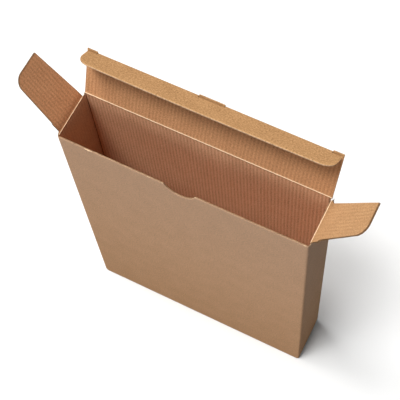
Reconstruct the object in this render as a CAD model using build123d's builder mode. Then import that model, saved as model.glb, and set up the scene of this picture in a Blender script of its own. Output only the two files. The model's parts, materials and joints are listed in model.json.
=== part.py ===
from build123d import *
from math import cos, radians, sin
import os

# A slim carton folded from one sheet of thin corrugated board, standing open on its bottom.
# Millimetres and degrees. X runs along the width, Y from the front wall to the back wall,
# and Z up from the floor under the middle of the box.

# The board, and how its layers and folds lie
board_thickness = 1.6
crease_radius = 0.4  # inside of a fixed fold
glue_film = 0.1  # between two glued layers
hinge_clearance = 0.2  # between a swinging board and the edge that it turns on
stack_clearance = 0.4  # between a dust flap folded in and the lid closed over it
cut_overrun = 2.0  # how far a cutting shape runs past what it cuts

# The walls
box_width = 240.0
box_depth = 50.0
wall_height = 324.0  # floor to the top edge of the front and back walls
thumb_notch_width = 30.0
thumb_notch_depth = 11.0
glue_flap_width = 28.0
glue_flap_drop = 6.0  # how far the glue flap starts from the back wall's ends
glue_flap_taper = 8.0  # how much more it has lost at its free edge

# The glued bottom
outer_flap_inset = 0.4  # from the outer flap's free edge to the back wall's outer face
inner_flap_gap = 1.0  # from the inner flap's free edge to the front wall

# The lid and the tuck flap on its front edge
lid_side_inset = 1.3
lid_front_inset = 0.2  # ears and lip, from the front wall's outer face when the lid is closed
ear_width = 10.0
lip_width = 24.0
score_bevel = 0.9  # what the score crushes off the inner edge of the lid at the tuck fold
slit_clearance = 0.3  # around the ears and the lip, where they are cut from the tuck flap
tuck_length = 24.2
tuck_front_clearance = 0.1  # to the front wall's inner face when the lid is closed
tuck_end_clearance = 0.4  # to the side walls' inner faces
tuck_end_taper = 0.8
tuck_corner_radius = 12.0

# Both dust flaps
dust_flap_length = 67.0
dust_corner_radius = 10.5

# The left dust flap, with one shoulder
left_front_clearance = 3.1  # crease end to the front wall's inner face, room for the tuck flap
left_back_clearance = 3.4  # crease end to the back wall's inner face
left_shoulder_length = 11.0
left_shoulder_slope = 2.4
left_shoulder_step = 0.5
left_front_taper = 0.9
left_back_taper = 6.1

# The right dust flap, with two shoulders
right_front_clearance = 3.3
right_back_clearance = 1.8
front_shoulder_length = 9.0
front_shoulder_slope = 3.5
front_shoulder_step = 1.7
front_edge_taper = 2.4
back_shoulder_length = 2.5
back_shoulder_slope = 4.0
back_shoulder_step = 2.8
back_edge_taper = 4.8

# How far each swinging board stands from its closed place
lid_angle = 112.0
tuck_angle = 82.0  # from the lid's own plane
left_flap_angle = 120.0
right_flap_angle = 129.0

# Worked out from the sizes above
half_board = board_thickness / 2
fold_radius = crease_radius + board_thickness
inner_width = box_width - 2 * board_thickness
inner_depth = box_depth - 2 * board_thickness
straight_width = box_width - 2 * fold_radius
straight_depth = box_depth - 2 * fold_radius
layer_step = board_thickness + glue_film
inner_flap_level = layer_step
side_flap_level = 2 * layer_step
lid_crease_y = box_depth / 2 - half_board
lid_crease_z = wall_height + hinge_clearance + half_board
dust_crease_x = box_width / 2 - half_board
dust_crease_z = lid_crease_z - board_thickness - stack_clearance
side_wall_height = dust_crease_z - half_board - hinge_clearance
seam_x = box_width / 2 - layer_step  # outer face of the glue flap
tuck_fold_reach = box_depth - 2 * board_thickness - tuck_front_clearance
ear_reach = box_depth - half_board - lid_front_inset
lid_width = box_width - 2 * lid_side_inset


def board_section(plane, outer_face, inside):
    """Section of a bent strip of board, given by the corners of its outer face."""
    with BuildSketch(plane) as section:
        with BuildLine():
            FilletPolyline(*outer_face, radius=fold_radius)
            offset(amount=board_thickness, side=inside)
        make_face()
    return section.sketch


def corner_section(centre_x, centre_y, quarter_x, quarter_y):
    """Section of an upright fold: the quarter of a ring towards quarter_x and quarter_y."""
    with BuildSketch(Plane.XY.offset(side_flap_level)) as section:
        with Locations((centre_x, centre_y)):
            Circle(fold_radius)
            Circle(crease_radius, mode=Mode.SUBTRACT)
        with Locations((centre_x + quarter_x * fold_radius / 2, centre_y + quarter_y * fold_radius / 2)):
            Rectangle(fold_radius, fold_radius, mode=Mode.INTERSECT)
    return section.sketch


def swinging_blank(crease, length, width):
    """Flat board with a half-round edge on its crease. The crease plane's x runs along the crease
    and its y away from it, in the middle of the board."""
    across = Plane(crease.origin, x_dir=crease.y_dir, z_dir=crease.x_dir)
    with BuildSketch(across) as section:
        Rectangle(length, board_thickness, align=(Align.MIN, Align.CENTER))
        Circle(half_board)
    extrude(section.sketch, amount=width / 2, both=True)


# The folded sheet: four walls, their upright folds, the glue flap and the glued bottom
front_y = -box_depth / 2
back_y = box_depth / 2
left_x = -box_width / 2
right_x = box_width / 2

with BuildPart() as box_body:
    # Front wall, and the outer bottom flap turned back from its lower edge
    front_strip = board_section(
        Plane.YZ,
        [(front_y, wall_height), (front_y, 0), (back_y - outer_flap_inset, 0)],
        Side.LEFT,
    )
    extrude(front_strip, amount=straight_width / 2, both=True)

    # Side walls, and the side bottom flaps that lie over the other two
    for wall_x, inward, inside in ((left_x, 1, Side.LEFT), (right_x, -1, Side.RIGHT)):
        side_strip = board_section(
            Plane.XZ,
            [
                (wall_x, side_wall_height),
                (wall_x, side_flap_level),
                (wall_x + inward * dust_flap_length, side_flap_level),
            ],
            inside,
        )
        extrude(side_strip, amount=straight_depth / 2, both=True)

    # Back wall, and the inner bottom flap turned forward from its lower edge
    back_strip = board_section(
        Plane.YZ.offset(-straight_width / 2),
        [
            (back_y, wall_height),
            (back_y, inner_flap_level),
            (front_y + board_thickness + inner_flap_gap, inner_flap_level),
        ],
        Side.RIGHT,
    )
    back_wall_end = seam_x - fold_radius
    extrude(back_strip, amount=back_wall_end + straight_width / 2)

    # Upright folds: three at the corners, and the one that turns the back wall into the glue flap
    fold_y = straight_depth / 2
    for fold_x, side_x, place_y, side_y in (
        (-straight_width / 2, -1, -fold_y, -1),
        (straight_width / 2, 1, -fold_y, -1),
        (-straight_width / 2, -1, fold_y, 1),
        (back_wall_end, 1, fold_y, 1),
    ):
        extrude(corner_section(fold_x, place_y, side_x, side_y), amount=wall_height - side_flap_level)

    # Free upright edge of the right wall, beside the back wall's fold
    with BuildSketch(Plane.XY.offset(side_flap_level + fold_radius)):
        with Locations((right_x - half_board, (fold_y + back_y) / 2)):
            Rectangle(board_thickness, back_y - fold_y)
    extrude(amount=side_wall_height - side_flap_level - fold_radius)

    # Glue flap, with slanted ends, inside the right wall
    glue_low = side_flap_level + board_thickness + glue_flap_drop
    glue_high = side_wall_height - glue_flap_drop
    with BuildSketch(Plane.YZ.offset(seam_x - board_thickness)):
        with BuildLine():
            Polyline(
                (fold_y, glue_low),
                (fold_y, glue_high),
                (fold_y - glue_flap_width, glue_high - glue_flap_taper),
                (fold_y - glue_flap_width, glue_low + glue_flap_taper),
                close=True,
            )
        make_face()
    extrude(amount=board_thickness)

    # Thumb notch in the middle of the front wall's top edge
    notch_radius = (thumb_notch_width**2 / 4 + thumb_notch_depth**2) / (2 * thumb_notch_depth)
    with BuildSketch(Plane.XZ.offset(-front_y)):
        with Locations((0, wall_height + notch_radius - thumb_notch_depth)):
            Circle(notch_radius)
    extrude(amount=-(board_thickness + cut_overrun), mode=Mode.SUBTRACT)

box_body.part.label = "box_body"

# Lid, leaning back from the crease on the back wall
lid_tilt = radians(lid_angle)
lid_plane = Plane(
    (0, lid_crease_y, lid_crease_z),
    x_dir=(1, 0, 0),
    z_dir=(0, -sin(lid_tilt), -cos(lid_tilt)),
)
lid_edge_reach = tuck_fold_reach - half_board - hinge_clearance
ear_start = lid_width / 2 - ear_width

with BuildPart() as lid:
    swinging_blank(lid_plane, ear_reach, lid_width)
    # The front edge stands back between the ears and the lip, for the tuck flap's fold
    with BuildSketch(lid_plane):
        for side in (-1, 1):
            with Locations((side * (ear_start + lip_width / 2) / 2, lid_edge_reach)):
                Rectangle(
                    ear_start - lip_width / 2,
                    ear_reach - lid_edge_reach + cut_overrun,
                    align=(Align.CENTER, Align.MIN),
                )
    extrude(amount=board_thickness, both=True, mode=Mode.SUBTRACT)
    fold_edges = lid.edges().filter_by(Axis.X).filter_by(
        lambda edge: abs(lid_plane.to_local_coords(edge.center()).Y - lid_edge_reach) < hinge_clearance
    )
    inner_edges = [edge for edge in fold_edges if lid_plane.to_local_coords(edge.center()).Z > 0]
    chamfer(inner_edges, length=score_bevel)

lid.part.label = "lid"

# Tuck flap, turned forward from the lid's front edge
tuck_tilt = radians(lid_angle - tuck_angle)
tuck_plane = Plane(
    lid_plane.from_local_coords((0, tuck_fold_reach, 0)),
    x_dir=(1, 0, 0),
    z_dir=(0, -sin(tuck_tilt), -cos(tuck_tilt)),
)
tuck_half_width = inner_width / 2 - tuck_end_clearance
slit_depth = ear_reach - tuck_fold_reach + slit_clearance
ear_slit = ear_start - slit_clearance
lip_slit = lip_width / 2 + slit_clearance

with BuildPart() as tuck_flap:
    swinging_blank(tuck_plane, tuck_length, 2 * tuck_half_width)
    with BuildSketch(tuck_plane) as tuck_outline:
        with BuildLine() as right_half:
            Polyline(
                (0, slit_depth),
                (lip_slit, slit_depth),
                (lip_slit, -board_thickness),
                (ear_slit, -board_thickness),
                (ear_slit, slit_depth),
                (tuck_half_width, slit_depth),
                (tuck_half_width - tuck_end_taper, tuck_length),
                (0, tuck_length),
            )
            mirror(right_half.line, about=Plane.YZ)
        make_face()
        fillet(tuck_outline.vertices().group_by(Axis.Y)[-1], radius=tuck_corner_radius)
    extrude(amount=board_thickness, both=True, mode=Mode.INTERSECT)

tuck_flap.part.label = "tuck_flap"

# Dust flaps, spread outward from the creases on the side walls. The corners of their outlines are
# given along the crease from front to back, and away from it.
left_crease_front = -inner_depth / 2 + left_front_clearance
left_crease_back = inner_depth / 2 - left_back_clearance
left_front_edge = left_crease_front + left_shoulder_step
left_corners = [
    (left_crease_front, -board_thickness),
    (left_crease_front, left_shoulder_length),
    (left_front_edge, left_shoulder_length + left_shoulder_slope),
    (left_front_edge + left_front_taper, dust_flap_length),
    (left_crease_back - left_back_taper, dust_flap_length),
    (left_crease_back, 0),
    (left_crease_back, -board_thickness),
]
right_crease_front = -inner_depth / 2 + right_front_clearance
right_crease_back = inner_depth / 2 - right_back_clearance
right_front_edge = right_crease_front + front_shoulder_step
right_back_edge = right_crease_back - back_shoulder_step
right_corners = [
    (right_crease_front, -board_thickness),
    (right_crease_front, front_shoulder_length),
    (right_front_edge, front_shoulder_length + front_shoulder_slope),
    (right_front_edge + front_edge_taper, dust_flap_length),
    (right_back_edge - back_edge_taper, dust_flap_length),
    (right_back_edge, back_shoulder_length + back_shoulder_slope),
    (right_crease_back, back_shoulder_length),
    (right_crease_back, -board_thickness),
]


def dust_plane(inward, angle):
    """Plane of a dust flap that has turned by the angle from lying folded in."""
    turn = radians(angle)
    return Plane(
        (-inward * dust_crease_x, 0, dust_crease_z),
        x_dir=(0, 1, 0),
        z_dir=(sin(turn), 0, -inward * cos(turn)),
    )


def dust_flap_outline(plane, corners):
    """Outline of a dust flap, with its front outer corner rounded."""
    with BuildSketch(plane) as outline:
        with BuildLine():
            Polyline(*corners, close=True)
        make_face()
        fillet(outline.vertices().group_by(Axis.Y)[-1].sort_by(Axis.X)[0], radius=dust_corner_radius)
    return outline.sketch


left_plane = dust_plane(1, left_flap_angle)
with BuildPart() as left_dust_flap:
    swinging_blank(left_plane, dust_flap_length, box_depth)
    extrude(dust_flap_outline(left_plane, left_corners), amount=board_thickness, both=True, mode=Mode.INTERSECT)

left_dust_flap.part.label = "left_dust_flap"

right_plane = dust_plane(-1, right_flap_angle)
with BuildPart() as right_dust_flap:
    swinging_blank(right_plane, dust_flap_length, box_depth)
    extrude(dust_flap_outline(right_plane, right_corners), amount=board_thickness, both=True, mode=Mode.INTERSECT)

right_dust_flap.part.label = "right_dust_flap"

os.makedirs("parts", exist_ok=True)
export_step(box_body.part, "parts/box_body.step")
export_step(lid.part, "parts/lid.step")
export_step(tuck_flap.part, "parts/tuck_flap.step")
export_step(left_dust_flap.part, "parts/left_dust_flap.step")
export_step(right_dust_flap.part, "parts/right_dust_flap.step")
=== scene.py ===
import json
from math import ceil, cos, hypot, pi, radians, sin
from types import SimpleNamespace

import bpy
import numpy as np
from mathutils import Matrix, Vector


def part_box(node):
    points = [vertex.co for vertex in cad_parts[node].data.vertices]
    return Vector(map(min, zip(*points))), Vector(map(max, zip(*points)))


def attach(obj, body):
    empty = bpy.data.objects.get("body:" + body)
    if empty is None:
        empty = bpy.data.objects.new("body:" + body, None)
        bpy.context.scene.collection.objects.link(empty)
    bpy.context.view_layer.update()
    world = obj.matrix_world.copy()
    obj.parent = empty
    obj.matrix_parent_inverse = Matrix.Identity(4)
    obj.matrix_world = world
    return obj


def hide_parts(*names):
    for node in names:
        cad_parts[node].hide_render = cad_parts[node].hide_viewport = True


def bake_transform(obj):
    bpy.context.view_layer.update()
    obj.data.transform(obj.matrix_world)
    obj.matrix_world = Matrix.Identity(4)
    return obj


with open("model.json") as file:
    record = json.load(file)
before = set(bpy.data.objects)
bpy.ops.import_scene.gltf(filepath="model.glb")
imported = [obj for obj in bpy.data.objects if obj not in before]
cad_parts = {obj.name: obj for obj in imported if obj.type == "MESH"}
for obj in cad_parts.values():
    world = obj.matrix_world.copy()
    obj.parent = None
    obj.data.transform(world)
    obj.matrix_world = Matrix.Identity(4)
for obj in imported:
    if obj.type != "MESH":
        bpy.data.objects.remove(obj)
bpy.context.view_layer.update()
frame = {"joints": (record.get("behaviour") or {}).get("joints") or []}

# A slim carton of thin corrugated board, standing open. Metres and degrees.
# X runs along the width, Y from the front to the back, and Z up.

joints = {joint["name"]: joint for joint in frame["joints"]}

# The board: two liners glued to a waved medium
BOARD = 0.0016
LINER = 0.00022
MEDIUM = 0.0002
MEDIUM_LEAST = 0.00005  # its thickness where the liners squeeze it
FLUTE_PITCH = 0.00337
RIPPLE = 0.00016  # how far the inner liner sinks between two flute tips
PRESS = 0.0003  # how far a die cut presses each liner towards the other
SCORE = 0.0006  # how far the inside of an upright fold is scored in
# Painted shade darkening the inner liner in each upright fold, where its scored inside lies in shade
SCORE_SHADE = -0.9

# The steps of the board's mesh
FLUTE_STEPS = 8
FLUTE_STEP = FLUTE_PITCH / FLUTE_STEPS
LINER_STEP = 0.008  # between the columns of a smooth liner
DUST_LINER_STEP = LINER_STEP / 2
STEP_WIDTH = 0.0002  # of the slanted cut where the height of the sheet's edge jumps
SPARE_SHARE = 1e-6  # of a step, so that rounding adds no column
SPARE_LENGTH = 1e-9  # so that rounding puts no column on the next wall
SHARP_EDGE = radians(40)

# The walls, their folds and the glued bottom. A pair of edge tints is for the outer liner, and for the
# inner liner with the medium.
HALF_WIDTH, HALF_DEPTH, WALL_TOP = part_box("box_body")[1]
SIDE_DROP = 0.002  # from the other walls' top edges to the side walls'
SIDE_TOP = WALL_TOP - SIDE_DROP
DUST_DROP = 0.001  # from the other walls' top edges to the dust flaps' creases
DUST_CREASE = WALL_TOP - DUST_DROP
FOLD_RADIUS = 0.002
FOLD_LENGTH = FOLD_RADIUS * pi / 2
FOLD_STEP = FOLD_RADIUS / 5  # between the columns round an upright fold
FOLD_LINER_STEP = FOLD_RADIUS / 4
FOLD_ROWS = 5
WALL_ROW_SHARES = (0.0, 0.0035, 0.008, 0.014, 0.025, 0.15, 0.5, 1.0)
FLAP_ROW_SHARES = (0.5, 0.98, 1.0)
GLUE_GAP = 0.0001
LAYER_STEP = BOARD + GLUE_GAP
SIDE_LAYER = 2 * LAYER_STEP  # height of the side flaps, which lie on the bottom's other two flaps
OUTER_FLAP_GAP = 0.0004  # from the outer flap's end to the back wall's outer face
OUTER_FLAP_END = HALF_DEPTH - OUTER_FLAP_GAP
INNER_FLAP_GAP = 0.001  # from the inner flap's end to the front wall's inner face
INNER_FLAP_END = HALF_DEPTH - BOARD - INNER_FLAP_GAP
SIDE_FLAP = 0.067
SEAM_X = HALF_WIDTH - LAYER_STEP
GLUE_FLAP = 0.028
GLUE_DROP = 0.006
GLUE_TAPER = 0.008
NOTCH_HALF = 0.015
NOTCH_DEPTH = 0.011
NOTCH_COLUMNS = 61
FRONT_BOW = 0.0004  # how far the middle of the front wall's top edge leans out
RIGHT_LEAN = 0.0009  # how far the back end of the right wall's top edge leans out
BODY_EDGE_TINTS = (-0.1, -0.35)

# The lid and its tuck flap
LID_ANGLE = -joints["lid_hinge"]["range_deg"][0]
LID_INSET = 0.0009
LID_HALF = HALF_WIDTH - LID_INSET
LID_EDGE = 0.0457  # from its crease to its front edge, beside the ears and the lip
LID_ROW_SHARES = (0.14, 0.45, 0.75, 0.967, 1.0)
LID_EDGE_TINTS = (0.2, 0.0)
EAR_WIDTH = 0.01
EAR_START = LID_HALF - EAR_WIDTH
EAR_REACH = 0.049
EAR_ROW_SHARE = 0.6
LIP_HALF = 0.012
SLIT_GAP = 0.0003
SLIT_DEPTH = 0.0026
TUCK_ANGLE = 82.0  # from the lid's plane
TUCK_FOLD_START = LIP_HALF + SLIT_GAP
TUCK_FOLD_END = EAR_START - SLIT_GAP
TUCK_LENGTH = 0.0242
TUCK_CLEARANCE = 0.0004
TUCK_HALF = HALF_WIDTH - BOARD - TUCK_CLEARANCE
TUCK_TAPER = 0.0008
TUCK_CORNER = 0.012
TUCK_ARC = np.radians(np.linspace(0, 86, 19))  # of the columns round that corner
TUCK_TIP = 0.00002  # from the last column to the very end
TUCK_ROW_SHARES = (0.0, 0.12, 0.3, 0.5, 0.75, 0.95, 1.0)
TUCK_CURL = 0.0015  # how far the ends of its free edge curl up
TUCK_SAG = 0.0009  # how much less its middle does
TUCK_CURL_POWER = 1.5
# Lighter cut edges on the tuck flap: partly the cut's own paler colour, partly a painted highlight where
# its free edge faces the light
TUCK_EDGE_TINTS_AND_HIGHLIGHT = (0.45, 0.2)
PANEL_START = 0.0005  # from a crease to the board's own mesh

# The dust flaps. Each corner is given by its place along the crease, from front to back, and by how
# far it is from the crease.
DUST_CORNER = 0.0105
DUST_ARC = np.radians(np.linspace(4, 90, 17))  # of the columns round that corner
DUST_ROW_SHARES = (0.0, 0.03, 0.06, 0.1, 0.2, 0.35, 0.55, 0.75, 0.9, 0.98, 1.0)
# Painted shade: the dust flaps' cut edges are darkened, as they lie in shade
DUST_EDGE_SHADE = (-0.5, -0.5)
LEFT_CORNERS = (
    (-0.0203, 0.011), (-0.0195, 0.0134), (-0.018, 0.0677), (0.0139, 0.0674), (0.02, 0.0),
)
RIGHT_CORNERS = (
    (-0.0201, 0.009), (-0.0182, 0.0125), (-0.0158, 0.0668), (0.0137, 0.067),
    (0.0181, 0.0065), (0.0212, 0.0025),
)
LEFT_CREASE = (-0.0232, 0.0201)
RIGHT_CREASE = (-0.0201, 0.0226)
LEFT_ANGLE = -joints["left_flap_hinge"]["range_deg"][0]
RIGHT_ANGLE = -joints["right_flap_hinge"]["range_deg"][0]

# The creases that the lid and the flaps swing on
CREASE_REACH = 0.0018
CREASE_FADE = 0.7  # share of its reach where the strip begins to thin out
CREASE_ROWS = 29
CREASE_ROUND = 0.00045
CREASE_LINE = 0.00052  # half the width of the bright, stretched line
CREASE_SKIN = 0.00004
CREASE_STEP = 0.001
CREASE_TAPER = 0.003  # over which a strip's ends narrow on the swinging side
CREASE_END = 0.3  # share of its reach that is left there
LID_BEAD = 0.0004
DUST_BEAD = 0.0003
BEAD_WOBBLE = 0.25  # share by which a bead's height varies
BEAD_WAVES = (710, 233)  # radians a metre
BEAD_SHIFT = 1.3
DUST_SINK = (0.001, 0.004)  # how far the score crushes the inside of the board, and how wide
TUCK_SINK = (0.0006, 0.0016)

# Slivers torn up along the front wall's top edge: place along X, length, rise, and reach outwards
FIBRES = (
    (-0.0905, 0.0034, 0.0007, 0.0009),
    (-0.0878, 0.0038, 0.0009, 0.0013),
    (-0.0853, 0.0022, 0.0004, 0.0006),
    (-0.0292, 0.0022, 0.0004, 0.0003),
    (-0.0160, 0.0016, 0.0004, 0.0002),
    (0.0157, 0.0020, 0.0009, 0.0004),
    (0.1164, 0.0022, 0.0004, 0.0005),
)
FIBRE_THICKNESS = 0.0002 * np.array((0, 0.8, 0.6))
FIBRE_COLUMNS = 11
FIBRE_ROWS = 6
FIBRE_RAGGED = 0.3  # share by which its height varies
FIBRE_WAVES = 9  # radians from its middle to its end
FIBRE_SHIFT = 400  # radians a metre along X, so that no two are alike
FIBRE_CURL = 2.2  # radians

# The photograph's camera, in the pixels of its 400 by 400 frame
IMAGE_SIZE = 400
FOCAL_PIXELS = 1106.116
SENSOR_WIDTH = 36  # millimetres
CAMERA_PLACE = (0.235838, -0.346893, 1.167573)
CAMERA_YAW = -33.859
CAMERA_PITCH = -65.346
CAMERA_ROLL = -7.532


def smooth(low, high, x):
    """0 as far as low, 1 from high on, and smooth between them."""
    share = np.clip((x - low) / (high - low), 0, 1)
    return share * share * (3 - 2 * share)


def mix(first, second, share):
    """first where share is 0, second where it is 1."""
    return first + (second - first) * share


def bell(x, height, reach):
    """A bell curve's height at a distance from its middle."""
    return height * np.exp(-((x / reach) ** 2))


def middles(values):
    """The middles between neighbours."""
    return (values[:-1] + values[1:]) / 2


def mirrored(values):
    """The values' mirror images, in reverse order, and the values."""
    return np.concatenate([-np.array(values)[::-1], values])


def columns(knots, step):
    """The knots, and evenly spaced places between them at most a step apart."""
    runs = []
    for start, end in zip(knots[:-1], knots[1:]):
        count = max(1, ceil(abs(end - start) / step - SPARE_SHARE))
        runs.append(np.linspace(start, end, count + 1)[:-1])
    return np.append(np.concatenate(runs), knots[-1])


def all_cells(rows):
    """Every cell between the points of a grid."""
    return np.ones((rows.shape[0] - 1, rows.shape[1] - 1), bool)


def cut_edges(rows):
    """1 along the far edge and the two sides of a grid, 0 elsewhere."""
    edges = np.zeros(rows.shape)
    edges[:, -1] = 1
    edges[[0, -1]] = 1
    return edges


def new_object(name, data):
    """A new object in the scene."""
    made = bpy.data.objects.new(name, data)
    bpy.context.scene.collection.objects.link(made)
    return made


# Shells and boards

# A piece's material slots. OTHER is a crease's bright line, or the inside of the side walls, which takes a
# copy of the inner paper painted for how it looks in shade.
OUTER, INNER, CORE, CUT, OTHER = range(5)


class Mesh:
    """Vertices and faces of closed shells, gathered for one object."""

    def __init__(self):
        self.places, self.boards, self.faces, self.slots = [], [], [], []
        self.count = 0

    def add_shell(self, low, high, cells, board, slots):
        """Closes the space between two grids of points over the cells that are there. slots holds the
        materials of the low side, the high side and the rim."""
        low_slot, high_slot, rim_slot = slots
        size = low.shape[0] * low.shape[1]
        grid = np.arange(size).reshape(low.shape[:2])
        corner = (grid[:-1, :-1], grid[1:, :-1], grid[1:, 1:], grid[:-1, 1:])
        a, b, c, d = (part[cells] for part in corner)
        faces = [np.stack([a, b, c, d], 1) + size, np.stack([d, c, b, a], 1)]
        slots = [np.broadcast_to(slot, cells.shape)[cells] for slot in (high_slot, low_slot)]
        padded = np.pad(cells, 1)
        beside = (padded[1:-1, :-2], padded[2:, 1:-1], padded[1:-1, 2:], padded[:-2, 1:-1])
        for side, neighbour in enumerate(beside):
            rim = cells & ~neighbour
            start, end = corner[side][rim], corner[(side + 1) % 4][rim]
            faces.append(np.stack([start, end, end + size, start + size], 1))
            slots.append(np.full(len(start), rim_slot))
        faces = np.concatenate(faces)
        places = np.concatenate([low.reshape(-1, 3), high.reshape(-1, 3)])
        if shell_volume(places, faces) < 0:
            faces = faces[:, ::-1]
        used, faces = np.unique(faces, return_inverse=True)
        self.places.append(places[used])
        self.boards.append(np.concatenate([board.reshape(-1, 3)] * 2)[used])
        self.faces.append(faces.reshape(-1, 4) + self.count)
        self.slots.append(np.concatenate(slots))
        self.count += len(used)

    def finish(self, name, materials):
        """Makes the object, with each vertex's place on the flat sheet and its tint as an attribute."""
        mesh = bpy.data.meshes.new(name)
        faces = np.concatenate(self.faces)
        mesh.from_pydata(np.concatenate(self.places), [], faces.tolist())
        mesh.polygons.foreach_set("material_index", np.concatenate(self.slots).astype(np.int32))
        sheet = mesh.attributes.new("board", "FLOAT_VECTOR", "POINT")
        sheet.data.foreach_set("vector", np.concatenate(self.boards).astype(np.float32).ravel())
        for material in materials:
            mesh.materials.append(material)
        mesh.shade_smooth()
        mesh.set_sharp_from_angle(angle=SHARP_EDGE)
        mesh.update()
        return new_object(name, mesh)


def shell_volume(places, faces):
    """Six times the signed volume inside a closed shell of four-cornered faces."""
    a, b, c, d = (places[faces[:, k]] for k in range(4))
    return np.einsum("ij,ij->i", a, np.cross(b, c) + np.cross(c, d)).sum()


def sheet_places(across, blank, tint):
    """Each grid point's place on the flat sheet, across the flutes and along them, and its tint."""
    board = np.zeros((*blank.rows.shape, 3))
    board[..., 0] = across[:, None] + blank.sheet[0]
    board[..., 1] = blank.rows + blank.sheet[1]
    board[..., 2] = tint
    return board


def add_board(mesh, make_blank, fine_columns, liner_columns):
    """Adds the outer liner, the inner liner and the waved medium of one blank. At a cut edge the liners
    are pressed together and the medium fills the gap."""
    blank = make_blank(liner_columns)
    roof = PRESS * blank.pressed
    board = sheet_places(liner_columns, blank, blank.tints[0] * blank.edges)
    mesh.add_shell(
        blank.place(roof), blank.place(roof + LINER), blank.cells, board, (OUTER, OUTER, CUT)
    )

    blank = make_blank(fine_columns)
    turn = (2 * pi * (fine_columns + blank.sheet[0]) / FLUTE_PITCH)[:, None]
    sunk = BOARD - RIPPLE * (1 - np.cos(turn)) / 2 - PRESS * blank.pressed - blank.sunk
    # The inner liner's tint holds painted shade in the upright folds
    board = sheet_places(fine_columns, blank, blank.tints[1] * blank.edges + blank.inner_tint)
    mesh.add_shell(
        blank.place(sunk - LINER), blank.place(sunk), blank.cells, board, (INNER, blank.inside, CUT)
    )
    low, high = medium_faces(turn, PRESS * blank.pressed + LINER, sunk - LINER, blank.pressed)
    mesh.add_shell(blank.place(low), blank.place(high), blank.cells, board, (CORE, CORE, CUT))


def medium_faces(turn, roof, base, pressed):
    """How deep the waved medium's two faces lie, between the outer liner and the inner one."""
    swing = (BOARD - 2 * LINER - MEDIUM) / 2
    slope = 2 * pi * swing / FLUTE_PITCH * np.sin(turn)
    half = MEDIUM / 2 * np.sqrt(1 + slope**2)
    middle = BOARD / 2 + (swing - RIPPLE / 2) * np.cos(turn)
    low = mix(np.clip(middle - half, roof, base - MEDIUM_LEAST), roof, pressed)
    high = mix(np.clip(middle + half, roof + MEDIUM_LEAST, base), base, pressed)
    return low, high


# The folded body


def flat_wall(start, end, **shape):
    """A flat wall's run in plan, along its outer face."""
    run = np.subtract(end, start)
    return dict(start=np.array(start), run=run / hypot(*run), length=hypot(*run), **shape)


def upright_fold(centre, angle):
    """A quarter turn clockwise about an upright fold's centre, from the angle."""
    return dict(
        centre=np.array(centre), angle=radians(angle), length=FOLD_LENGTH,
        top=WALL_TOP, low=SIDE_LAYER, flap=0.0, cut_top=1.0,
    )


FOLD_X = HALF_WIDTH - FOLD_RADIUS
FOLD_Y = HALF_DEPTH - FOLD_RADIUS
side_wall = dict(top=SIDE_TOP, low=SIDE_LAYER + FOLD_RADIUS, flap=SIDE_FLAP - FOLD_RADIUS, cut_top=0.0)
front_wall = dict(top=WALL_TOP, low=FOLD_RADIUS, flap=OUTER_FLAP_END + FOLD_Y, cut_top=1.0)
back_wall = dict(top=WALL_TOP, low=LAYER_STEP + FOLD_RADIUS, flap=INNER_FLAP_END + FOLD_Y, cut_top=0.0)
glue_flap = dict(top=SIDE_TOP - GLUE_DROP, low=SIDE_LAYER + BOARD + GLUE_DROP, flap=0.0, cut_top=1.0)
RIGHT_WALL, FRONT_WALL, LEFT_WALL, BACK_WALL, GLUE_WALL = 0, 2, 4, 6, 8
RING = [
    flat_wall((HALF_WIDTH, HALF_DEPTH), (HALF_WIDTH, -FOLD_Y), **side_wall),
    upright_fold((FOLD_X, -FOLD_Y), 0),
    flat_wall((FOLD_X, -HALF_DEPTH), (-FOLD_X, -HALF_DEPTH), **front_wall),
    upright_fold((-FOLD_X, -FOLD_Y), -90),
    flat_wall((-HALF_WIDTH, -FOLD_Y), (-HALF_WIDTH, FOLD_Y), **side_wall),
    upright_fold((-FOLD_X, FOLD_Y), -180),
    flat_wall((-FOLD_X, HALF_DEPTH), (SEAM_X - FOLD_RADIUS, HALF_DEPTH), **back_wall),
    upright_fold((SEAM_X - FOLD_RADIUS, FOLD_Y), 90),
    flat_wall((SEAM_X, FOLD_Y), (SEAM_X, FOLD_Y - GLUE_FLAP), **glue_flap),
]
RING_STARTS = np.cumsum([0.0] + [part["length"] for part in RING])
FRONT_MIDDLE = RING_STARTS[FRONT_WALL] + RING[FRONT_WALL]["length"] / 2


def ring_columns(step, fold_step):
    """Columns all round the sheet, with a narrow gap at each fold's edges for the steps there."""
    runs = []
    for index, part in enumerate(RING):
        start = RING_STARTS[index] + (STEP_WIDTH if index else 0)
        knots = [start, RING_STARTS[index + 1]]
        if index == FRONT_WALL:
            notch = FRONT_MIDDLE + np.linspace(-NOTCH_HALF, NOTCH_HALF, NOTCH_COLUMNS)
            knots = [knots[0], *notch, knots[1]]
        runs.append(columns(knots, fold_step if "centre" in part else step))
    return np.concatenate(runs)


def ring_places(across):
    """Which part of the ring each column lies on, its place in plan on the outer face, the direction out
    of the box there, and how far round a fold it is."""
    index = np.searchsorted(RING_STARTS, across - SPARE_LENGTH, side="right") - 1
    index = np.clip(index, 0, len(RING) - 1)
    edge, outward = np.zeros((len(across), 2)), np.zeros((len(across), 2))
    fold_share = np.zeros(len(across))
    for k, part in enumerate(RING):
        here = index == k
        gone = across[here] - RING_STARTS[k]
        if "centre" in part:
            turn = part["angle"] - gone / FOLD_RADIUS
            outward[here] = np.stack([np.cos(turn), np.sin(turn)], 1)
            edge[here] = part["centre"] + FOLD_RADIUS * outward[here]
            fold_share[here] = gone / part["length"]
        else:
            outward[here] = (-part["run"][1], part["run"][0])
            edge[here] = part["start"] + gone[:, None] * part["run"]
    return index, edge, outward, fold_share


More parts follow.
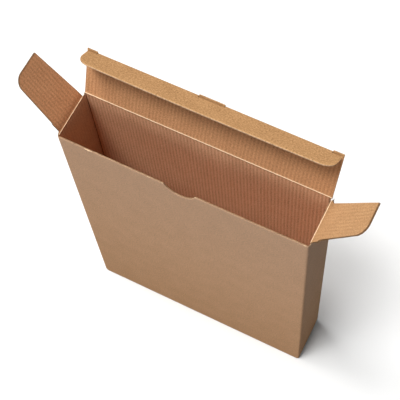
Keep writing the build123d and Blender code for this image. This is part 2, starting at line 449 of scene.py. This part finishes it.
def ring_shape(across, index):
    """Each column's top, the height where its bottom fold starts, its bottom flap's length, and 1 where
    its top is a cut edge."""
    names = ("top", "low", "flap", "cut_top")
    top, low, flap, cut_top = (np.array([RING[k][name] for k in index]) for name in names)
    slant = np.clip((across - RING_STARTS[GLUE_WALL]) / GLUE_FLAP, 0, 1) * GLUE_TAPER
    top = top - notch_drop(across - FRONT_MIDDLE) - slant
    return top, low + slant, flap, cut_top


def body_rows(top, low, flap):
    """Places along each column of the flat sheet: down the wall, round the bottom fold and to the bottom
    flap's end. They are heights as far as the fold."""
    wall_rows = top[:, None] + (low - top)[:, None] * np.array(WALL_ROW_SHARES)
    fold_rows = low[:, None] - np.linspace(0, FOLD_LENGTH, FOLD_ROWS)[None, 1:]
    flap_rows = low[:, None] - FOLD_LENGTH - flap[:, None] * np.array(FLAP_ROW_SHARES)
    return np.concatenate([wall_rows, fold_rows, flap_rows], 1)


def body_blank(across):
    """The folded sheet, for columns all round it."""
    index, edge, outward, fold_share = ring_places(across)
    top, low, flap, cut_top = ring_shape(across, index)
    rows = body_rows(top, low, flap)
    cells = all_cells(rows)
    on_flap = (index[:-1] == index[1:]) & (flap[:-1] > 0)
    cells[:, len(WALL_ROW_SHARES) - 1:] &= on_flap[:, None]
    pressed = cut_edges(rows)
    pressed[1:-1, 0] = cut_top[1:-1]
    fold = np.sin(pi * fold_share)[:, None]
    side = np.isin(index, (RIGHT_WALL, LEFT_WALL))
    sunk = SCORE * fold + bell(DUST_CREASE - rows, *DUST_SINK) * side[:, None]
    inside = np.full(cells.shape, INNER)
    inside[side[:-1]] = OTHER
    lean = front_bow(across - FRONT_MIDDLE) + right_lean(across)

    def place(depth):
        below = low[:, None] - rows
        turn = np.clip(below, 0, FOLD_LENGTH) / FOLD_RADIUS
        beyond = np.clip(below - FOLD_LENGTH, 0, None)
        radius = FOLD_RADIUS - depth
        height = np.maximum(rows, low[:, None])
        leaning = lean[:, None] * (height / WALL_TOP) ** 2
        out = radius * np.cos(turn) - FOLD_RADIUS - beyond + leaning
        points = np.zeros((*rows.shape, 3))
        points[..., :2] = edge[:, None] + out[..., None] * outward[:, None]
        points[..., 2] = height - radius * np.sin(turn)
        return points

    return SimpleNamespace(
        rows=rows, cells=cells, place=place, pressed=pressed, sunk=sunk, sheet=(0.0, 0.0),
        edges=pressed, tints=BODY_EDGE_TINTS, inner_tint=SCORE_SHADE * fold, inside=inside,
    )


def notch_drop(x):
    """Depth of the thumb notch at a distance from the front wall's middle."""
    radius = (NOTCH_HALF**2 + NOTCH_DEPTH**2) / (2 * NOTCH_DEPTH)
    inside = np.abs(x) < NOTCH_HALF
    rise = np.sqrt(np.clip(radius**2 - x**2, 0, None))
    return np.where(inside, rise - radius + NOTCH_DEPTH, 0)


def front_bow(x):
    """How far the front wall's top edge leans out at a distance from its middle, most on the right."""
    share = -x / FOLD_X
    return FRONT_BOW * np.clip(1 - share**2, 0, None) * np.clip(1 + share, 0, None)


def right_lean(across):
    """How far the right wall's top edge leans out, most at the back."""
    length = RING[RIGHT_WALL]["length"]
    return RIGHT_LEAN * np.clip(1 - across / length, 0, None)


# The swinging panels

UP = np.array((0.0, 0.0, 1.0))


class Panel:
    """A flat board on a crease, opened by an angle from lying flat over the box. inward runs from the
    crease over the box, and sheet is the crease's place on the flat sheet."""

    def __init__(self, joint, crease, inward, angle, sheet):
        self.origin = np.array(joints[joint]["pos_m"])
        self.crease = np.array(crease)
        self.inward = np.array(inward)
        self.along = cos(radians(angle)) * self.inward + sin(radians(angle)) * UP
        self.out = cos(radians(angle)) * UP - sin(radians(angle)) * self.inward
        self.sheet = sheet

    def blank(self, across, rows, cells, tints, pressed=1.0, sunk=0.0, lift=0.0, inside=INNER):
        """A blank on this panel, lifted off its plane by lift, with its cut edges pressed and tinted."""
        edges = cut_edges(rows)

        def place(depth):
            flat = across[:, None, None] * self.crease + rows[..., None] * self.along
            return self.origin + flat + (BOARD / 2 - depth + lift)[..., None] * self.out

        return SimpleNamespace(
            rows=rows, cells=cells, place=place, pressed=pressed * edges, sunk=sunk, sheet=self.sheet,
            edges=edges, tints=tints, inner_tint=0.0, inside=inside,
        )


back_sheet = RING_STARTS[BACK_WALL] + FOLD_X
left_sheet = RING_STARTS[LEFT_WALL] + FOLD_Y
lid_panel = Panel("lid_hinge", (1.0, 0, 0), (0, -1.0, 0), LID_ANGLE, (back_sheet, WALL_TOP))
tuck_panel = Panel(
    "tuck_fold", (1.0, 0, 0), (0, -1.0, 0), LID_ANGLE - TUCK_ANGLE, (back_sheet, WALL_TOP + LID_EDGE)
)
left_panel = Panel("left_flap_hinge", (0, 1.0, 0), (1.0, 0, 0), LEFT_ANGLE, (left_sheet, SIDE_TOP))
right_panel = Panel("right_flap_hinge", (0, 1.0, 0), (-1.0, 0, 0), RIGHT_ANGLE, (-HALF_DEPTH, SIDE_TOP))

LID_LENGTH = np.linalg.norm(tuck_panel.origin - lid_panel.origin)
LID_ROWS = LID_EDGE * np.array(LID_ROW_SHARES)
EAR_ROWS = (mix(LID_EDGE, EAR_REACH, EAR_ROW_SHARE), EAR_REACH)
LID_KNOTS = mirrored([LIP_HALF, EAR_START, LID_HALF])


def lid_blank(across):
    """The lid, with an ear at each end and a lip in the middle of its front edge."""
    rows = np.tile([PANEL_START, *LID_ROWS, *EAR_ROWS], (len(across), 1))
    cells = all_cells(rows)
    middle = np.abs(middles(across))
    beyond_edge = -len(EAR_ROWS)
    cells[:, beyond_edge:] = ((middle > EAR_START) | (middle < LIP_HALF))[:, None]
    inside = np.full(cells.shape, INNER)
    inside[:, beyond_edge:] = OUTER
    sunk = np.where(rows > LID_EDGE, 0, bell(LID_LENGTH - rows, *TUCK_SINK))
    return lid_panel.blank(across, rows, cells, LID_EDGE_TINTS, sunk=sunk, inside=inside)


tuck_lean = TUCK_TAPER / (TUCK_LENGTH - SLIT_DEPTH)
tuck_round_y = TUCK_LENGTH - TUCK_CORNER
tuck_round_x = TUCK_HALF - tuck_lean * (tuck_round_y - SLIT_DEPTH) - TUCK_CORNER * hypot(1, tuck_lean)
tuck_arc = tuck_round_x + TUCK_CORNER * np.sin(TUCK_ARC)
# The ear slits fall inside the round ends, so the fold's ends join the arc's places
TUCK_KNOTS = np.unique(mirrored([TUCK_FOLD_START, *tuck_arc, TUCK_HALF - TUCK_TIP, TUCK_FOLD_END]))


def tuck_end(x):
    """How far the tuck flap reaches from its fold, at a distance from its middle."""
    arc = np.sqrt(np.clip(TUCK_CORNER**2 - np.clip(x - tuck_round_x, 0, None) ** 2, 0, None))
    slanted = SLIT_DEPTH + (TUCK_HALF - x) / tuck_lean
    return np.minimum(tuck_round_y + arc, np.maximum(slanted, SLIT_DEPTH))


def tuck_blank(across):
    """The tuck flap, with rounded ends, and slits at its root around the ears and the lip."""
    end = tuck_end(np.abs(across))
    body = SLIT_DEPTH + (end - SLIT_DEPTH)[:, None] * np.array(TUCK_ROW_SHARES)
    rows = np.concatenate([np.full((len(across), 1), PANEL_START), body], 1)
    cells = all_cells(rows)
    middle = np.abs(middles(across))
    cells[:, 0] = (middle > TUCK_FOLD_START) & (middle < TUCK_FOLD_END)
    sag = np.clip(1 - (across / TUCK_HALF) ** 2, 0, None)[:, None]
    lift = (TUCK_CURL - TUCK_SAG * sag) * (rows / TUCK_LENGTH) ** TUCK_CURL_POWER
    sunk = bell(rows, *TUCK_SINK)
    return tuck_panel.blank(across, rows, cells, TUCK_EDGE_TINTS_AND_HIGHLIGHT, sunk=sunk, lift=lift)


class DustFlap:
    """A dust flap on a panel, with shoulders at its root and its front corner rounded."""

    def __init__(self, panel, corners):
        self.panel = panel
        self.places, self.reaches = np.transpose(corners)
        lean = (self.places[2] - self.places[1]) / (self.reaches[2] - self.reaches[1])
        self.round_reach = self.reaches[2] - DUST_CORNER
        self.round_place = self.places[1] + lean * (self.round_reach - self.reaches[1])
        self.round_place += DUST_CORNER * hypot(1, lean)

    def end(self, place):
        """How far the flap reaches from its crease, at a place along it."""
        straight = np.interp(place, self.places, self.reaches)
        short = np.clip(self.round_place - place, 0, DUST_CORNER)
        rounded = np.minimum(straight, self.round_reach + np.sqrt(DUST_CORNER**2 - short**2))
        return np.where(straight > self.round_reach, rounded, straight)

    def blank(self, across):
        """The flap's blank, for columns along its crease."""
        end = np.maximum(self.end(across), 2 * PANEL_START)
        rows = PANEL_START + (end - PANEL_START)[:, None] * np.array(DUST_ROW_SHARES)
        sunk = bell(rows, *DUST_SINK)
        return self.panel.blank(across, rows, all_cells(rows), DUST_EDGE_SHADE, pressed=0.0, sunk=sunk)

    def columns(self, step):
        """Columns along the crease, close together round the corner."""
        arc = self.round_place - DUST_CORNER * np.cos(DUST_ARC)
        return columns([*self.places[:2], *arc, *self.places[3:]], step)


left_flap = DustFlap(left_panel, LEFT_CORNERS)
right_flap = DustFlap(right_panel, RIGHT_CORNERS)


# Torn fibres on the front wall's top edge


def add_fibre(mesh, x, length, rise, reach):
    """A small sliver of the outer liner, torn up along the front wall's top edge and curled outwards."""
    share = np.linspace(-1, 1, FIBRE_COLUMNS)
    curl = np.linspace(0, 1, FIBRE_ROWS)
    across = x + length / 2 * share
    wave = np.sin(FIBRE_WAVES * share + FIBRE_SHIFT * x)
    ragged = ((1 - share**2) * (1 - FIBRE_RAGGED + FIBRE_RAGGED * wave))[:, None]
    low = np.zeros((FIBRE_COLUMNS, FIBRE_ROWS, 3))
    low[..., 0] = across[:, None]
    low[..., 1] = -HALF_DEPTH - front_bow(-across)[:, None] - reach * ragged * curl**2
    low[..., 2] = (WALL_TOP - notch_drop(across))[:, None] + rise * ragged * np.sin(FIBRE_CURL * curl)
    sliver = SimpleNamespace(rows=low[..., 2], sheet=(FRONT_MIDDLE, 0.0))
    board = sheet_places(across, sliver, 0.0)
    mesh.add_shell(low, low + FIBRE_THICKNESS, all_cells(low), board, (OUTER, OUTER, OUTER))


# The creases


def add_crease(mesh, panel, spans, wall, bead, sink):
    """A bent strip of board over a panel's crease. wall holds the direction away from the crease on the
    fixed side and its inner face's direction. A bright bead stands up along the inner side."""
    away, face = wall
    along = np.linspace(-CREASE_REACH, CREASE_REACH, CREASE_ROWS)
    share = smooth(-CREASE_ROUND, CREASE_ROUND, along)[:, None]
    inward = face * (1 - share) - panel.out * share
    inward /= np.linalg.norm(inward, axis=1)[:, None]
    fade = smooth(CREASE_REACH, CREASE_REACH * CREASE_FADE, np.abs(along))
    rise = bell(along, bead, CREASE_ROUND)
    crushed = bell(along, *sink) if sink else np.zeros(len(along))
    bright = np.abs(middles(along)) < CREASE_LINE
    inner_slots = np.where(bright & (bead > 0), OTHER, INNER)
    for start, end in spans:
        across = columns([start, end], CREASE_STEP)
        high = BOARD / 2 - crushed + (rise + CREASE_SKIN) * fade * bead_wobble(across)
        low = np.broadcast_to(BOARD / 2 + CREASE_SKIN * fade, high.shape)
        from_end = np.minimum(across - start, end - across)
        reach = mix(CREASE_END, 1.0, smooth(0, CREASE_TAPER, from_end))[:, None]
        fixed = np.clip(-along, 0, None)[None, :, None] * away
        swinging = (reach * np.clip(along, 0, None))[..., None] * panel.along
        line = panel.origin + across[:, None, None] * panel.crease + fixed + swinging
        strip = SimpleNamespace(rows=np.broadcast_to(along, high.shape), sheet=panel.sheet)
        mesh.add_shell(
            line - low[..., None] * inward, line + high[..., None] * inward, all_cells(high),
            sheet_places(across, strip, 0.0), (OUTER, inner_slots, CUT),
        )


def bead_wobble(across):
    """Share of its full height that a bead has, at places along it."""
    first, second = BEAD_WAVES
    waves = BEAD_WOBBLE * np.sin(across * first) * np.sin(across * second + BEAD_SHIFT)
    return (1 + waves)[:, None]


# Materials

# A paper's darkest and lightest tones, as shares of its middle tone
DARK_SHARE = np.array((0.58, 0.55, 0.52))
LIGHT_SHARE = np.array((1.4, 1.5, 1.65))
LIGHTEST = 0.95
MIDDLE_TONE = 0.5

# Noise over the flat sheet: how it is stretched, its scale and its detail
CLOUD = ((1, 1, 0), 60, 3)
FIBRE = ((1, 3, 0), 380, 4)
SPECKLE = ((1, 1.3, 0), 640, 2)
FLECK = ((1, 1.6, 0), 520, 0)
WAVER = ((1, 0.3, 0), 90, 2)
BREAKS = ((0.6, 1, 0), 420, 2)
NOISE_MEAN = 0.5

# How strongly each shows in a paper's tone
CLOUD_TONE = 0.35
FIBRE_TONE = 0.6
SPECKLE_TONE = 1.5
FLECK_TONE = -2.0
FLECK_LEAST = 0.17  # noise above which a fleck shows
BREAK_TONE = 3.0  # as a share of the stripes' strength

# Painted sheen: a pale, cloudy veil mixed into a paper's colour in place of the white floor's reflection,
# stronger towards the walls' top
SHEEN_COLOUR = (0.86, 0.80, 0.78, 1)
SHEEN_CLOUD = 0.03
PAPER_SPECULAR = 0.08
PAPER_ROUGHNESS = 0.72
FIBRE_ROUGHNESS = 0.3
BUMP_STRENGTH = 0.5
BUMP_DEPTH = 0.0003

# Sockets of a colour mix, whose names its other data types share
MIX_FIRST, MIX_SECOND, MIX_RESULT = 6, 7, 2


class NodeTree:
    """A node tree, with short ways to add and join nodes."""

    def __init__(self, tree):
        self.tree = tree

    def node(self, kind, **settings):
        """A new node."""
        made = self.tree.nodes.new(kind)
        for name, value in settings.items():
            setattr(made, name, value)
        return made

    def feed(self, target, value):
        """Joins another node's output to an input, or sets the input to a plain value."""
        if isinstance(value, bpy.types.NodeSocket):
            self.tree.links.new(value, target)
        else:
            target.default_value = value

    def math(self, operation, *values):
        """A math node's result for numbers and outputs."""
        made = self.node("ShaderNodeMath", operation=operation)
        for target, value in zip(made.inputs, values):
            self.feed(target, value)
        return made.outputs[0]

    def mix(self, share, first, second):
        """The first colour where share is 0, the second where it is 1."""
        made = self.node("ShaderNodeMix", data_type="RGBA")
        self.feed(made.inputs["Factor"], share)
        self.feed(made.inputs[MIX_FIRST], first)
        self.feed(made.inputs[MIX_SECOND], second)
        return made.outputs[MIX_RESULT]

    def noise(self, place, stretch, scale, detail):
        """Noise about zero."""
        spread = self.node("ShaderNodeVectorMath", operation="MULTIPLY")
        self.feed(spread.inputs[0], place)
        self.feed(spread.inputs[1], stretch)
        made = self.node("ShaderNodeTexNoise")
        self.feed(made.inputs["Vector"], spread.outputs[0])
        self.feed(made.inputs["Scale"], scale)
        self.feed(made.inputs["Detail"], detail)
        return self.math("SUBTRACT", made.outputs["Fac"], NOISE_MEAN)

    def seen(self):
        """1 for a ray that shows the background, 0 for one that only lights the object."""
        path = self.node("ShaderNodeLightPath").outputs
        direct = self.math("MAXIMUM", path["Is Camera Ray"], path["Is Glossy Ray"])
        return self.math("MAXIMUM", direct, path["Is Transmission Ray"])


def new_material(name):
    """A new material, its node tree and its surface's inputs."""
    material = bpy.data.materials.new(name)
    material.use_nodes = True
    tree = material.node_tree
    return material, NodeTree(tree), tree.nodes["Principled BSDF"].inputs


def kraft(name, middle, spread, grain, stripes=0.0, sheen=None):
    """Uncoated kraft paper: cloudy, speckled, with fibres along the machine direction, dark flecks, and
    stripes where the flutes show through. spread is how far its tones reach from the middle one, and
    sheen holds the share at the bottom of a painted sheen, a pale veil standing in for the white floor's
    reflection, and how much it grows towards the top."""
    material, tree, surface = new_material(name)
    sheet = tree.node("ShaderNodeAttribute", attribute_name="board").outputs["Vector"]
    parts = tree.node("ShaderNodeSeparateXYZ")
    tree.feed(parts.inputs[0], sheet)
    across, along, tint = parts.outputs
    cloud = tree.noise(sheet, *CLOUD)
    fibre = tree.noise(sheet, *FIBRE)
    speckle = tree.noise(sheet, *SPECKLE)
    fleck = tree.math("SUBTRACT", tree.noise(sheet, *FLECK), FLECK_LEAST)
    tone = tree.math("ADD", tint, MIDDLE_TONE)
    tone = tree.math("MULTIPLY_ADD", cloud, CLOUD_TONE * grain, tone)
    tone = tree.math("MULTIPLY_ADD", fibre, FIBRE_TONE * grain, tone)
    tone = tree.math("MULTIPLY_ADD", speckle, SPECKLE_TONE * grain, tone)
    tone = tree.math("MULTIPLY_ADD", tree.math("MAXIMUM", fleck, 0.0), FLECK_TONE * grain, tone)
    if stripes:
        tone = striped(tree, tone, sheet, across, stripes)
    colour = paper_colour(tree, tone, middle, spread)
    if sheen:
        colour = with_painted_sheen(tree, colour, along, cloud, *sheen)
    tree.feed(surface["Base Color"], colour)
    tree.feed(surface["Specular IOR Level"], PAPER_SPECULAR)
    tree.feed(surface["Roughness"], tree.math("MULTIPLY_ADD", fibre, FIBRE_ROUGHNESS, PAPER_ROUGHNESS))
    tree.feed(surface["Normal"], paper_bump(tree, fibre, speckle))
    return material


def striped(tree, tone, sheet, across, stripes):
    """A paper's tone with the flutes showing through as wavering, broken stripes."""
    waver = tree.noise(sheet, *WAVER)
    breaks = tree.noise(sheet, *BREAKS)
    wave = tree.math("COSINE", tree.math("MULTIPLY_ADD", across, 2 * pi / FLUTE_PITCH, waver))
    strength = tree.math("MULTIPLY_ADD", breaks, BREAK_TONE * stripes, stripes)
    return tree.math("MULTIPLY_ADD", wave, strength, tone)


def paper_colour(tree, tone, middle, spread):
    """A paper's colour, from its darkest at a tone of 0 to its lightest at 1."""
    ramp = tree.node("ShaderNodeValToRGB")
    stops = ramp.color_ramp.elements
    stops[0].color = (*(np.array(middle) * DARK_SHARE**spread), 1)
    stops[1].color = (*np.minimum(middle * LIGHT_SHARE**spread, LIGHTEST), 1)
    stops.new(MIDDLE_TONE).color = (*middle, 1)
    tree.feed(ramp.inputs[0], tone)
    return ramp.outputs["Color"]


def with_painted_sheen(tree, colour, along, cloud, low_share, rise):
    """A paper's colour under a painted sheen: a pale, cloudy veil that stands in for the white floor's
    reflection, whose share grows towards the walls' top.
    """
    share = tree.math("MULTIPLY_ADD", along, rise / WALL_TOP, low_share)
    return tree.mix(tree.math("MULTIPLY_ADD", cloud, SHEEN_CLOUD, share), colour, SHEEN_COLOUR)


def paper_bump(tree, fibre, speckle):
    """Normals of a paper's rough surface."""
    bump = tree.node("ShaderNodeBump")
    tree.feed(bump.inputs["Strength"], BUMP_STRENGTH)
    tree.feed(bump.inputs["Distance"], BUMP_DEPTH)
    tree.feed(bump.inputs["Height"], tree.math("ADD", fibre, speckle))
    return bump.outputs[0]


outer_paper = kraft("kraft_outer", (0.47, 0.254, 0.110), 1.0, 1.1)
# Painted light: a lighter copy of the outer liner for the upright walls, which get less light, under a
# painted sheen
wall_paper_painted_light = kraft("kraft_walls_painted_light", (0.71, 0.37, 0.163), 1.0, 0.7, sheen=(0.065, 0.15))
inner_paper = kraft("kraft_inner", (0.55, 0.277, 0.132), 1.0, 0.75, stripes=0.10)
# Painted light: a lighter copy of the inner paper for the inside of the box, which gets little light
deep_paper_painted_light = kraft("kraft_inner_deep_painted_light", (0.75, 0.42, 0.243), 1.0, 0.75, stripes=0.15)
# Painted light: a paler, greyer copy of the inner paper for the inside of the side walls, which lies in
# shade
side_paper_shade_copy = kraft("kraft_inner_side_shade_copy", (0.72, 0.455, 0.31), 1.0, 0.6, stripes=0.04)
# Painted light: a redder, lighter copy of the inner paper for the left flap, which faces away from the
# lamps, and a paler copy for the lit right flap
flap_paper_shaded_copy = kraft("kraft_inner_shaded_copy", (0.67, 0.320, 0.155), 1.0, 0.75, stripes=0.07)
flap_paper_lit_copy = kraft("kraft_inner_lit_copy", (0.515, 0.288, 0.138), 1.0, 0.7, stripes=0.05)
core_paper = kraft("kraft_core", (0.40, 0.24, 0.13), 0.8, 0.6)
cut_paper = kraft("kraft_cut", (0.42, 0.265, 0.15), 1.35, 0.8)
crease_paper = kraft("kraft_crease", (0.91, 0.67, 0.445), 0.3, 0.5)


# The pieces


def make_board(body, blank, fine, coarse, outside=outer_paper, inside=inner_paper, others=()):
    """One board that stands for the node of its body."""
    mesh = Mesh()
    add_board(mesh, blank, fine, coarse)
    made = mesh.finish(f"{body}_board", (outside, inside, core_paper, cut_paper, *others))
    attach(made, body)
    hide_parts(body)


def make_crease(name, panel, spans, wall, bead, sink=None, inside=inner_paper):
    """The strip of board bent over a panel's crease, at the panel's present angle."""
    mesh = Mesh()
    add_crease(mesh, panel, spans, wall, bead, sink)
    made = mesh.finish(name, (outer_paper, inside, core_paper, cut_paper, crease_paper))
    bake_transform(made)


def make_fibres():
    """The slivers torn up along the front wall's top edge."""
    mesh = Mesh()
    for fibre in FIBRES:
        add_fibre(mesh, *fibre)
    made = mesh.finish("torn_fibres", (crease_paper,))
    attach(made, "box_body")


make_board(
    "box_body", body_blank, ring_columns(FLUTE_STEP, FOLD_STEP), ring_columns(LINER_STEP, FOLD_LINER_STEP),
    wall_paper_painted_light, deep_paper_painted_light, [side_paper_shade_copy],
)
make_board("lid", lid_blank, columns(LID_KNOTS, FLUTE_STEP), columns(LID_KNOTS, LINER_STEP))
make_board("tuck_flap", tuck_blank, columns(TUCK_KNOTS, FLUTE_STEP), columns(TUCK_KNOTS, LINER_STEP))
for side, flap, paper in (("left", left_flap, flap_paper_shaded_copy), ("right", right_flap, flap_paper_lit_copy)):
    make_board(
        f"{side}_dust_flap", flap.blank, flap.columns(FLUTE_STEP), flap.columns(DUST_LINER_STEP),
        inside=paper,
    )

make_crease(
    "lid_crease", lid_panel, [(-LID_HALF, LID_HALF)],
    (-UP, lid_panel.inward), LID_BEAD,
)
left_crease = ("left", left_panel, LEFT_CREASE, flap_paper_shaded_copy)
right_crease = ("right", right_panel, RIGHT_CREASE, flap_paper_lit_copy)
for side, panel, span, paper in (left_crease, right_crease):
    make_crease(
        f"{side}_flap_crease", panel, [span],
        (-UP, panel.inward), DUST_BEAD, DUST_SINK, paper,
    )
tuck_spans = [(TUCK_FOLD_START, TUCK_FOLD_END), (-TUCK_FOLD_END, -TUCK_FOLD_START)]
make_crease(
    "tuck_crease", tuck_panel, tuck_spans,
    (-lid_panel.along, -lid_panel.out), 0.0, TUCK_SINK,
)
make_fibres()


# Floor, light and camera

FLOOR_REACH = 6.0
FLOOR_HEIGHT = -0.0002
FLOOR_SEEN = (0.84, 0.84, 0.84, 1)
FLOOR_BOUNCE = (0.10, 0.10, 0.10, 1)  # as the object sees it
FILL_COLOUR = (0.95, 0.97, 1.0, 1)
FILL_STRENGTH = 0.08
WHITE = (1, 1, 1, 1)

# Each lamp's name, the direction towards it, its strength, and how many degrees wide it looks
LAMPS = (
    ("key_left", (-0.33, 0.05, 1.0), 1.4, 16),
    ("key_top", (-0.15, -0.12, 1.0), 0.9, 18),
    ("key_front", (-0.13, -0.30, 1.0), 1.35, 16),
    ("key_corner", (-0.33, -0.28, 1.0), 0.65, 16),
    ("front", (-0.08, -0.96, 0.26), 0.64, 40),
    ("back", (0.0, 0.96, 0.26), 0.4, 40),
)
LAMP_COLOUR = (1.0, 1.0, 0.99)


def make_floor():
    """A wide pale floor that keeps the shadow."""
    mesh = bpy.data.meshes.new("floor")
    corners = ((-1, -1), (1, -1), (1, 1), (-1, 1))
    places = [(x * FLOOR_REACH, y * FLOOR_REACH, FLOOR_HEIGHT) for x, y in corners]
    mesh.from_pydata(places, [], [(0, 1, 2, 3)])
    material, tree, surface = new_material("floor_white")
    tree.feed(surface["Base Color"], tree.mix(tree.seen(), FLOOR_BOUNCE, FLOOR_SEEN))
    tree.feed(surface["Roughness"], 1.0)
    tree.feed(surface["Specular IOR Level"], 0.0)
    mesh.materials.append(material)
    new_object("floor", mesh)


def make_lamp(name, towards, energy, angle):
    """Soft light from a direction, as from a wide disc far away."""
    lamp = bpy.data.lights.new(name, "SUN")
    lamp.energy = energy
    lamp.angle = radians(angle)
    lamp.color = LAMP_COLOUR
    made = new_object(name, lamp)
    made.rotation_mode = "QUATERNION"
    made.rotation_quaternion = Vector(towards).to_track_quat("Z", "Y")


def make_world():
    """Faint even light all round, and white where the background is seen."""
    world = bpy.data.worlds.new("studio")
    bpy.context.scene.world = world
    world.use_nodes = True
    tree = NodeTree(world.node_tree)
    fill = world.node_tree.nodes["Background"]
    tree.feed(fill.inputs["Color"], FILL_COLOUR)
    tree.feed(fill.inputs["Strength"], FILL_STRENGTH)
    white = tree.node("ShaderNodeBackground")
    tree.feed(white.inputs["Color"], WHITE)
    tree.feed(white.inputs["Strength"], 1.0)
    mixed = tree.node("ShaderNodeMixShader")
    for target, value in zip(mixed.inputs, (tree.seen(), fill.outputs[0], white.outputs[0])):
        tree.feed(target, value)
    tree.feed(world.node_tree.nodes["World Output"].inputs["Surface"], mixed.outputs[0])


def make_camera():
    """The photograph's camera."""
    yaw, pitch, roll = (radians(angle) for angle in (CAMERA_YAW, CAMERA_PITCH, CAMERA_ROLL))
    forward = Vector((cos(pitch) * sin(yaw), cos(pitch) * cos(yaw), sin(pitch)))
    level = forward.cross(Vector((0, 0, 1))).normalized()
    raised = level.cross(forward)
    right = cos(roll) * level + sin(roll) * raised
    up = cos(roll) * raised - sin(roll) * level
    lens = bpy.data.cameras.new("camera")
    lens.sensor_width = SENSOR_WIDTH
    lens.lens = SENSOR_WIDTH * FOCAL_PIXELS / IMAGE_SIZE
    camera = new_object("camera", lens)
    turn = Matrix((right, up, -forward)).transposed()
    camera.matrix_world = Matrix.Translation(CAMERA_PLACE) @ turn.to_4x4()
    bpy.context.scene.camera = camera


make_floor()
for lamp in LAMPS:
    make_lamp(*lamp)
make_world()
make_camera()
bpy.context.scene.view_settings.view_transform = "Standard"
